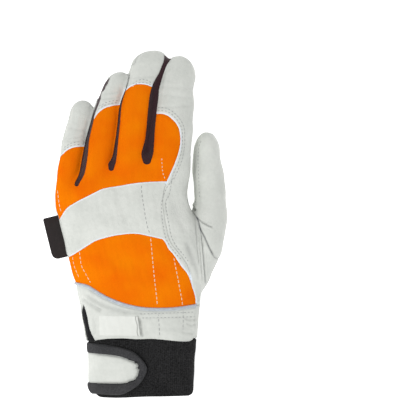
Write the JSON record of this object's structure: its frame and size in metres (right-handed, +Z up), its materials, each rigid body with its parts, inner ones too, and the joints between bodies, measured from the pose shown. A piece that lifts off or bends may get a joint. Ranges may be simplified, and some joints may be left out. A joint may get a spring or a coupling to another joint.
{
  "type": "leather work glove",
  "caption": "Leather work glove for the left hand with orange stretch cloth on its back, black strips between the fingers, a knitted cuff and a closing strap.",
  "frame": {"origin": "middle of the footprint, on the surface that the glove lies on", "axes": "+Y towards the fingertips, +X towards the thumb, +Z up from the palm through the back of the hand"},
  "size_m": [0.136, 0.2564, 0.048],
  "materials": {
    "leather_white": "soft grain goat leather, matt",
    "cloth_orange": "fine stretch weave",
    "elastic_dark": "ribbed stretch strip",
    "elastic_black": "elastic weave",
    "knit_black": "dense knit over foam",
    "binding_grey": "padded edge binding",
    "piping_grey": "satin piping",
    "tag_black": "woven tag, left blank",
    "label_white": "woven label, left blank"
  },
  "bodies": {
    "root": {"palm_leather": "leather_white", "palm_crescent": "leather_white", "grip_patch": "leather_white", "thumb_front": "leather_white", "thumb_back": "leather_white", "index_back": "leather_white", "middle_back": "leather_white", "ring_back": "leather_white", "little_back": "leather_white", "knuckle_panel": "cloth_orange", "back_band": "leather_white", "back_panel": "cloth_orange", "piping": "piping_grey", "wrist_panel": "leather_white", "wrist_gusset": "elastic_black", "fourchette_index_middle": "elastic_dark", "fourchette_middle_ring": "elastic_dark", "fourchette_ring_little": "elastic_dark", "cuff": "knit_black", "strap_leather": "leather_white", "strap_binding": "binding_grey", "side_tag": "tag_black", "size_label": "label_white"}
  },
  "joints": []
}
